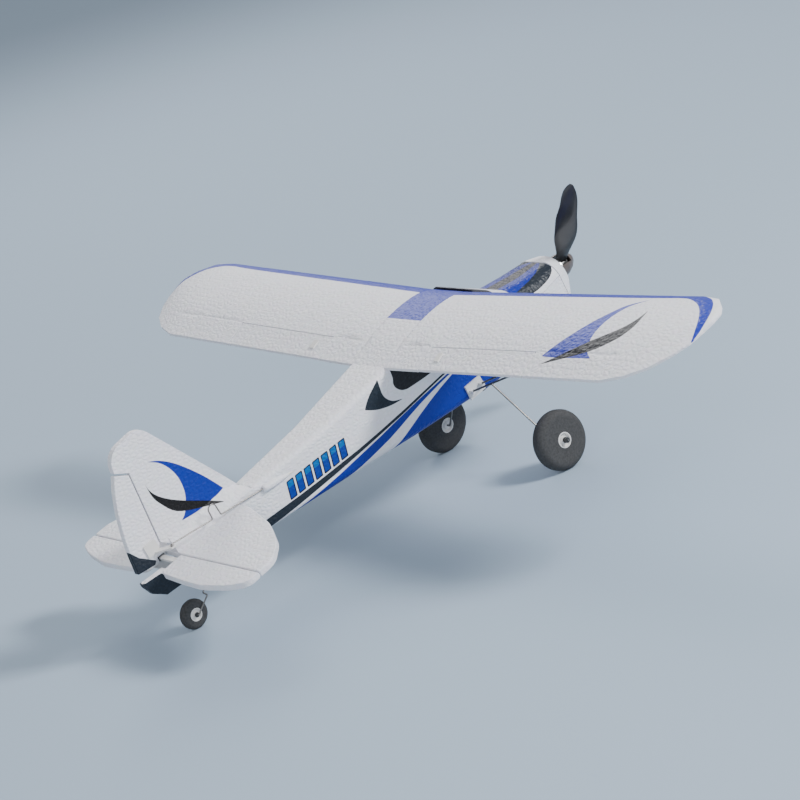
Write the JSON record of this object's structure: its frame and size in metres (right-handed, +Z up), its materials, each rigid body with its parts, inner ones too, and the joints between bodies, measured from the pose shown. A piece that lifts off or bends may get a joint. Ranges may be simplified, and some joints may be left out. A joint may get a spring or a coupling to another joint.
{
  "type": "model airplane",
  "caption": "Foam high-wing electric radio-control airplane with working control surfaces, wheels, propeller and battery hatch",
  "frame": {"origin": "centre of the bounding box on the ground plane, under the three wheels", "axes": "+X along the wing towards the pilot's left wing tip, -Y towards the propeller, +Z up; the airplane stands on its wheels with its nose up"},
  "size_m": [0.616, 0.4545, 0.1954],
  "materials": {
    "foam": "fine beaded foam skin, satin",
    "white_plastic": "smooth moulded",
    "plywood": "sanded",
    "motor_metal": "machined",
    "steel": "bright drawn",
    "black_plastic": "semi gloss",
    "spinner_plastic": "semi gloss",
    "carbon": "satin",
    "servo_case": "semi gloss",
    "guide_tube": "satin",
    "battery_wrap": "shrink wrap",
    "strap_fabric": "woven",
    "receiver_case": "satin",
    "tyre_foam": "matt"
  },
  "bodies": {
    "airframe": {"fuselage_left": "foam", "fuselage_right": "foam", "cowl": "white_plastic", "firewall": "plywood", "motor_mount": "motor_metal", "wing": "foam", "wing_spars": "carbon", "wing_mount_bars": "black_plastic", "aileron_servo_left": "servo_case", "aileron_servo_right": "servo_case", "tailplane": "foam", "fin": "foam", "rudder_servo": "servo_case", "elevator_servo": "servo_case", "servo_tray": "plywood", "rod_guides": "guide_tube", "battery_shelf": "plywood", "battery": "battery_wrap", "battery_strap": "strap_fabric", "receiver": "receiver_case", "main_gear_wire": "steel", "gear_plate": "black_plastic", "tail_gear_wire": "steel", "wheel_collars": "black_plastic", "tail_bracket": "black_plastic", "strut_plates": "white_plastic", "wing_struts": "carbon", "strut_clips": "white_plastic", "screws": "steel"},
    "propeller": {"motor_bell": "motor_metal", "motor_shaft": "steel", "prop_adapter": "motor_metal", "propeller": "black_plastic", "spinner": "spinner_plastic"},
    "left_wheel": {"left_wheel_tyre": "tyre_foam", "left_wheel_hub": "white_plastic"},
    "right_wheel": {"right_wheel_tyre": "tyre_foam", "right_wheel_hub": "white_plastic"},
    "tail_wheel": {"tail_wheel_tyre": "tyre_foam", "tail_wheel_hub": "white_plastic"},
    "hatch": {"hatch": "foam"},
    "left_aileron": {"aileron_left": "foam", "aileron_horn_left": "white_plastic"},
    "right_aileron": {"aileron_right": "foam", "aileron_horn_right": "white_plastic"},
    "left_aileron_arm": {"aileron_arm_left": "white_plastic"},
    "right_aileron_arm": {"aileron_arm_right": "white_plastic"},
    "left_aileron_rod": {"aileron_rod_left": "steel"},
    "right_aileron_rod": {"aileron_rod_right": "steel"},
    "elevator": {"elevator_left": "foam", "elevator_right": "foam", "elevator_joiner": "white_plastic", "elevator_horn": "white_plastic"},
    "elevator_arm": {"elevator_arm": "white_plastic"},
    "elevator_rod": {"elevator_rod": "steel"},
    "rudder": {"rudder": "foam", "rudder_horn": "white_plastic"},
    "rudder_arm": {"rudder_arm": "white_plastic"},
    "rudder_rod": {"rudder_rod": "steel"}
  },
  "joints": [
    {"name": "propeller_spin", "type": "hinge", "parent": "airframe", "child": "propeller", "pos_m": [0, -0.20927, 0.12168], "axis": [0, 0.9721, -0.2347], "continuous": true},
    {"name": "left_wheel_spin", "type": "hinge", "parent": "airframe", "child": "left_wheel", "pos_m": [0.0691, -0.10985, 0.02299], "axis": [0.9945, 0.0245, 0.1016], "continuous": true},
    {"name": "right_wheel_spin", "type": "hinge", "parent": "airframe", "child": "right_wheel", "pos_m": [-0.0691, -0.10985, 0.02299], "axis": [0.9945, -0.0245, -0.1016], "continuous": true},
    {"name": "tail_wheel_spin", "type": "hinge", "parent": "airframe", "child": "tail_wheel", "pos_m": [0, 0.19155, 0.011], "axis": [1, 0, 0], "continuous": true},
    {"name": "hatch_hinge", "type": "hinge", "parent": "airframe", "child": "hatch", "pos_m": [0, -0.18391, 0.1351], "axis": [1, 0, 0], "range_deg": [0, 70]},
    {"name": "left_aileron_hinge", "type": "hinge", "parent": "airframe", "child": "left_aileron", "pos_m": [0.11659, -0.02647, 0.13205], "axis": [0.999, 0.0102, 0.0424], "range_deg": [-18, 18]},
    {"name": "right_aileron_hinge", "type": "hinge", "parent": "airframe", "child": "right_aileron", "pos_m": [-0.11659, -0.02647, 0.13205], "axis": [0.999, -0.0102, -0.0424], "range_deg": [-18, 18]},
    {"name": "left_aileron_servo", "type": "hinge", "parent": "airframe", "child": "left_aileron_arm", "pos_m": [0.07456, -0.04777, 0.13226], "axis": [0.999, 0.0102, 0.0424], "range_deg": [-22.28, 22.28]},
    {"name": "right_aileron_servo", "type": "hinge", "parent": "airframe", "child": "right_aileron_arm", "pos_m": [-0.07456, -0.04777, 0.13226], "axis": [0.999, -0.0102, -0.0424], "range_deg": [-22.28, 22.28]},
    {"name": "left_aileron_pushrod", "type": "slide", "parent": "airframe", "child": "left_aileron_rod", "axis": [0, 0.9721, -0.2347], "range_m": [-0.00428, 0.00428]},
    {"name": "right_aileron_pushrod", "type": "slide", "parent": "airframe", "child": "right_aileron_rod", "axis": [0, 0.9721, -0.2347], "range_m": [-0.00428, 0.00428]},
    {"name": "elevator_hinge", "type": "hinge", "parent": "airframe", "child": "elevator", "pos_m": [0, 0.19191, 0.05721], "axis": [1, 0, 0], "range_deg": [-18, 18]},
    {"name": "elevator_servo_arm", "type": "hinge", "parent": "airframe", "child": "elevator_arm", "pos_m": [0.0025, -0.05208, 0.08886], "axis": [0, 0.2347, 0.9721], "range_deg": [-20.46, 20.46]},
    {"name": "elevator_pushrod", "type": "slide", "parent": "airframe", "child": "elevator_rod", "axis": [0, 0.9824, -0.1868], "range_m": [-0.00393, 0.00393]},
    {"name": "rudder_hinge", "type": "hinge", "parent": "airframe", "child": "rudder", "pos_m": [0, 0.20121, 0.07142], "axis": [0, 0.1315, 0.9913], "range_deg": [-18, 18]},
    {"name": "rudder_servo_arm", "type": "hinge", "parent": "airframe", "child": "rudder_arm", "pos_m": [-0.0025, -0.02486, 0.08229], "axis": [0, 0.2347, 0.9721], "range_deg": [-22.1, 22.1]},
    {"name": "rudder_pushrod", "type": "slide", "parent": "airframe", "child": "rudder_rod", "axis": [0, 0.9981, -0.0613], "range_m": [-0.00424, 0.00424]}
  ],
  "couplings": [
    {"joint": "right_aileron_hinge", "follows": "left_aileron_hinge", "ratio": -1},
    {"joint": "left_aileron_servo", "follows": "left_aileron_hinge", "ratio": 1.2375},
    {"joint": "right_aileron_servo", "follows": "left_aileron_hinge", "ratio": -1.2375},
    {"joint": "left_aileron_pushrod", "follows": "left_aileron_hinge", "m_per_rad": 0.013612},
    {"joint": "right_aileron_pushrod", "follows": "left_aileron_hinge", "m_per_rad": -0.013612},
    {"joint": "elevator_servo_arm", "follows": "elevator_hinge", "ratio": 1.1364},
    {"joint": "elevator_pushrod", "follows": "elevator_hinge", "m_per_rad": 0.0125},
    {"joint": "rudder_servo_arm", "follows": "rudder_hinge", "ratio": 1.2273},
    {"joint": "rudder_pushrod", "follows": "rudder_hinge", "m_per_rad": -0.0135}
  ]
}
